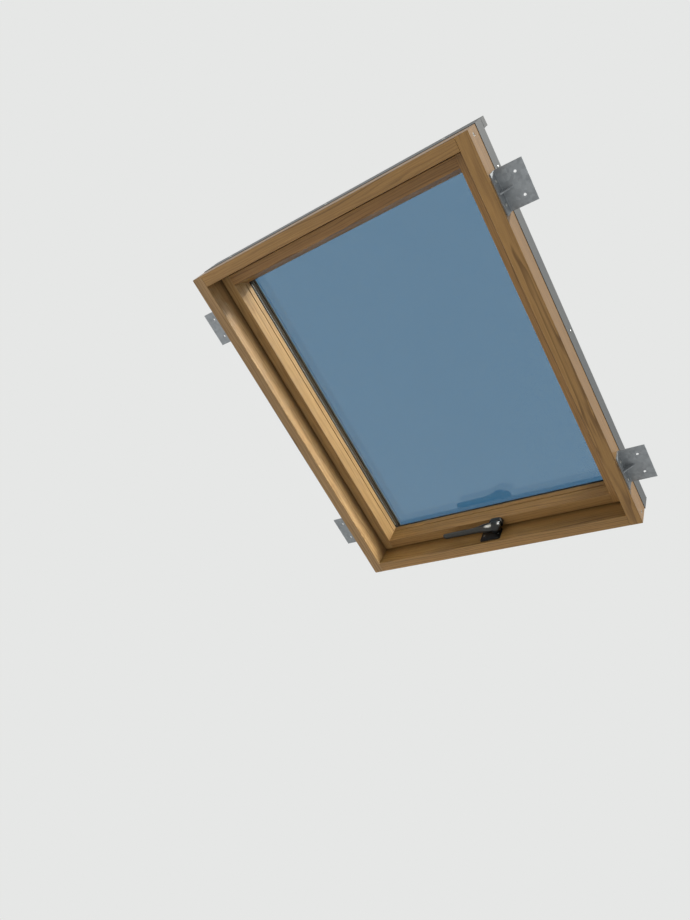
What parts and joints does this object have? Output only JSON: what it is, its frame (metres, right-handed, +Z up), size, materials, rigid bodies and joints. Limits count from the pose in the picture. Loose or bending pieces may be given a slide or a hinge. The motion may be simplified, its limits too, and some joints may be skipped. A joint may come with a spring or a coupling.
{
  "type": "roof window",
  "caption": "Top hung roof window: timber frame and glazed timber sash with folded metal cladding, hinges along the top, lever handle and lock at the bottom.",
  "frame": {"origin": "middle of the frame's room side plane", "axes": "+X to the left as seen from the room, +Y into the room, +Z up. The window stands at a roof pitch of 36 degrees: its outer face looks to -Y and up, and its slope rises towards +Y."},
  "size_m": [0.905, 0.8567, 0.6809],
  "materials": {
    "pine": "clear satin lacquer",
    "epdm": "matt black",
    "cladding": "grey coating on folded sheet",
    "galvanised": "zinc coated",
    "screw_steel": "bright zinc",
    "float_glass": "clear with a slight blue coating",
    "spacer": "black with small breathing holes",
    "sealant": "black two part sealant",
    "setting_block": "hard plastic",
    "die_cast": "dark bronze, smooth"
  },
  "bodies": {
    "frame": {"frame_left_stile": "pine", "frame_right_stile": "pine", "frame_top_rail": "pine", "frame_bottom_rail": "pine", "frame_gasket": "epdm", "head_gasket": "epdm", "frame_cover_left": "cladding", "frame_cover_right": "cladding", "frame_cover_bottom": "cladding", "frame_hood": "cladding", "frame_cover_screws": "screw_steel", "frame_corner_screws": "screw_steel", "bracket_top_left": "galvanised", "bracket_top_right": "galvanised", "bracket_bottom_left": "galvanised", "bracket_bottom_right": "galvanised", "bracket_screws": "screw_steel", "hinge_frame_leaf_left": "galvanised", "hinge_frame_leaf_right": "galvanised", "hinge_frame_screws": "screw_steel", "hinge_pin_left": "screw_steel", "hinge_pin_right": "screw_steel", "keeper": "die_cast", "keeper_screws": "screw_steel"},
    "sash": {"sash_left_stile": "pine", "sash_right_stile": "pine", "sash_top_rail": "pine", "sash_bottom_rail": "pine", "inner_pane": "float_glass", "outer_pane": "float_glass", "spacer_bar": "spacer", "edge_seal": "sealant", "glazing_tape": "epdm", "outer_gasket": "epdm", "setting_blocks": "setting_block", "sash_cover_left": "cladding", "sash_cover_right": "cladding", "sash_cover_top": "cladding", "sash_cover_bottom": "cladding", "sash_cover_screws": "screw_steel", "hinge_sash_leaf_left": "galvanised", "hinge_sash_leaf_right": "galvanised", "hinge_sash_screws": "screw_steel", "handle_base": "die_cast", "handle_base_screws": "screw_steel"},
    "handle": {"handle_lever": "die_cast", "handle_grub_screw": "screw_steel", "handle_spindle": "screw_steel", "locking_cam": "die_cast"}
  },
  "joints": [
    {"name": "sash_swing", "type": "hinge", "parent": "frame", "child": "sash", "pos_m": [0, 0.30283, 0.36834], "axis": [-1, 0, 0], "range_deg": [0, 45]},
    {"name": "handle_turn", "type": "hinge", "parent": "sash", "child": "handle", "pos_m": [-0.017, -0.37918, -0.21987], "axis": [0, -0.5878, 0.809], "range_deg": [0, 90]}
  ]
}
